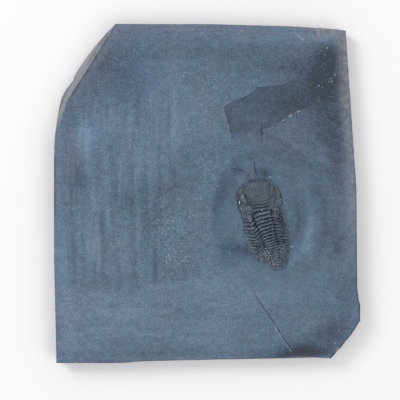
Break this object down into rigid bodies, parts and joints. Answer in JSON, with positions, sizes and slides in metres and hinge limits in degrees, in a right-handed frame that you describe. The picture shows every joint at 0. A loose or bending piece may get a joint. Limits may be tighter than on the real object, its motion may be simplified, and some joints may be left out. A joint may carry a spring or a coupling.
{
  "type": "trilobite fossil on a slate slab",
  "caption": "Trilobite with a domed head, ringed body and ribbed tail, lying in a ground hollow on a trimmed slab of dark slate.",
  "frame": {"origin": "middle of the slab's box, on its flat underside", "axes": "+Z out of the slab's face, +Y along the slab's long side towards the trilobite's head, +X to the viewer's right"},
  "size_m": [0.1686, 0.1868, 0.0131],
  "materials": {
    "slate": "matte blue-grey cleaved slate",
    "shell": "satin dark grey-brown mineralised shell",
    "pyrite": "dull pyrite with bright crystal glints"
  },
  "bodies": {
    "root": {"slate_slab": "slate", "head_shield": "shell", "body_ring_01": "shell", "body_ring_02": "shell", "body_ring_03": "shell", "body_ring_04": "shell", "body_ring_05": "shell", "body_ring_06": "shell", "body_ring_07": "shell", "body_ring_08": "shell", "body_ring_09": "shell", "body_ring_10": "shell", "body_ring_11": "shell", "tail_shield": "shell", "feeler_left": "pyrite", "feeler_right": "pyrite", "leg_left_1": "pyrite", "leg_left_2": "pyrite", "leg_left_3": "pyrite", "leg_left_4": "pyrite", "leg_right_1": "pyrite", "leg_right_2": "pyrite", "leg_right_3": "pyrite", "leg_right_4": "pyrite", "leg_right_5": "pyrite"}
  },
  "joints": []
}
